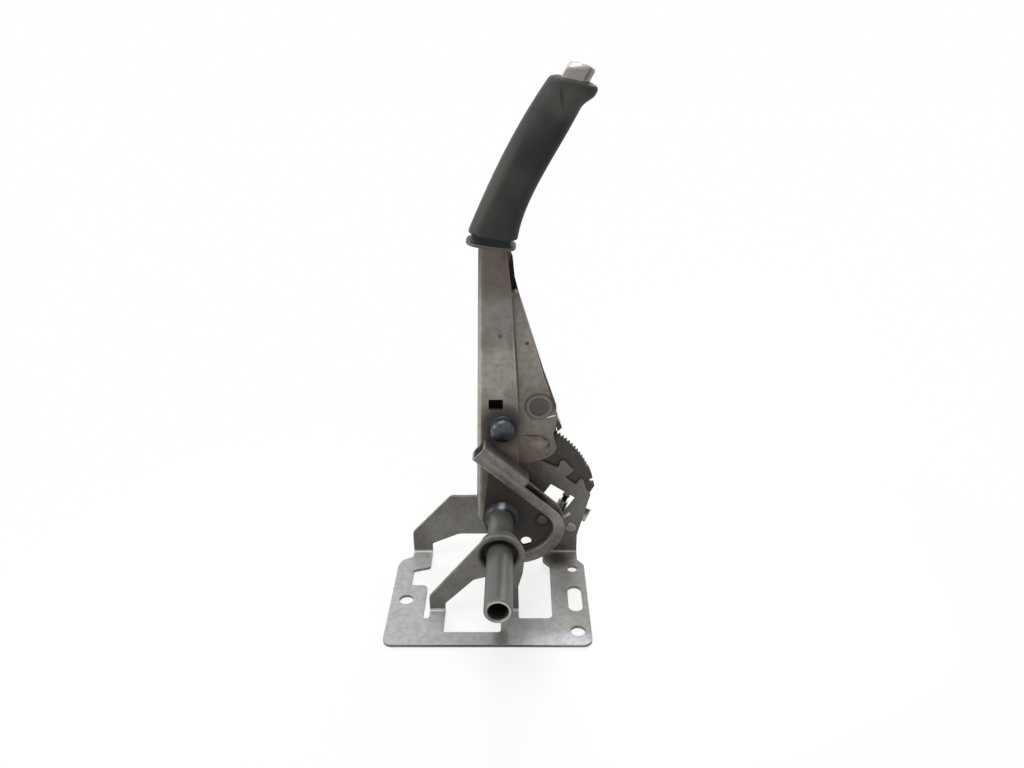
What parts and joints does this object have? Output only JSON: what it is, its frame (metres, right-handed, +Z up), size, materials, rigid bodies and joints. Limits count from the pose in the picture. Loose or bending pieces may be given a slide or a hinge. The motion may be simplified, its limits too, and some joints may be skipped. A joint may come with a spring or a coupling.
{
  "type": "parking brake lever",
  "caption": "Hand parking brake lever on a stamped steel bracket, with ratchet sector, pawl and release button, cable quadrant, pivot tube, warning switch and moulded grip.",
  "frame": {"origin": "on the underside of the base plate, on the front rail, straight below the pivot axis", "axes": "+Z up from the base, +Y along the pivot tube from its open end towards the ratchet, +X forward, the way the lever is lowered"},
  "size_m": [0.1623, 0.1525, 0.3915],
  "materials": {
    "bracket_steel": "bare pressed sheet, dull grey",
    "sector_steel": "hardened, dark brown",
    "rivet_steel": "bare upset steel",
    "bush_plastic": "black bearing plastic",
    "switch_plastic": "black moulded plastic",
    "switch_metal": "plated sheet and turned barrel",
    "lever_steel": "bare pressed sheet with oil and heat stains",
    "quadrant_steel": "bare pressed sheet, brown",
    "tube_steel": "drawn tube, dull",
    "weld_metal": "weld bead with blue heat tint",
    "stud_steel": "dark glossy dome",
    "spring_steel": "drawn spring wire",
    "rod_steel": "drawn wire",
    "grip_plastic": "soft charcoal plastic, fine grain",
    "collar_plastic": "dark grey plastic",
    "button_chrome": "satin chrome plating"
  },
  "bodies": {
    "bracket": {"base_bracket": "bracket_steel", "ratchet_sector": "sector_steel", "sector_rivets": "rivet_steel", "front_bush": "bush_plastic", "rear_bush": "bush_plastic", "switch_body": "switch_plastic", "switch_barrel": "switch_metal", "switch_terminal": "switch_metal", "switch_clip": "switch_metal", "switch_spring": "spring_steel"},
    "plunger": {"switch_plunger": "switch_plastic"},
    "lever": {"lever_channel": "lever_steel", "lever_cover": "lever_steel", "cable_quadrant": "quadrant_steel", "quadrant_rim": "quadrant_steel", "front_lip": "quadrant_steel", "back_lip": "quadrant_steel", "cable_tunnel": "quadrant_steel", "quadrant_rivet": "rivet_steel", "pivot_tube": "tube_steel", "tube_weld": "weld_metal", "tube_retainer": "rivet_steel", "anchor_stud": "stud_steel", "pawl_rivet": "rivet_steel", "pawl_spring": "spring_steel", "grip": "grip_plastic", "grip_collar": "collar_plastic", "rod_guide": "bush_plastic", "button_spring": "spring_steel"},
    "pawl": {"pawl": "sector_steel"},
    "button": {"button": "button_chrome", "push_rod": "rod_steel"}
  },
  "joints": [
    {"name": "lever_pivot", "type": "hinge", "parent": "bracket", "child": "lever", "pos_m": [0, 0.105, 0.053], "axis": [0, 1, 0], "range_deg": [0, 41.5]},
    {"name": "pawl_pivot", "type": "hinge", "parent": "lever", "child": "pawl", "pos_m": [0.0301, 0.11, 0.1436], "axis": [0, -1, 0], "range_deg": [-5.3, 15.6], "deforming": ["pawl_spring"]},
    {"name": "button_slide", "type": "slide", "parent": "lever", "child": "button", "axis": [-0.5, 0, -0.866], "range_m": [-0.002, 0.006], "stiffness_N_per_m": 600, "deforming": ["button_spring"]},
    {"name": "plunger_press", "type": "slide", "parent": "bracket", "child": "plunger", "axis": [-0.3746, 0, -0.9272], "range_m": [0, 0.0025], "stiffness_N_per_m": 400, "deforming": ["switch_spring"]}
  ],
  "couplings": [
    {"joint": "pawl_pivot", "follows": "button_slide", "rad_per_m": 44.5}
  ]
}
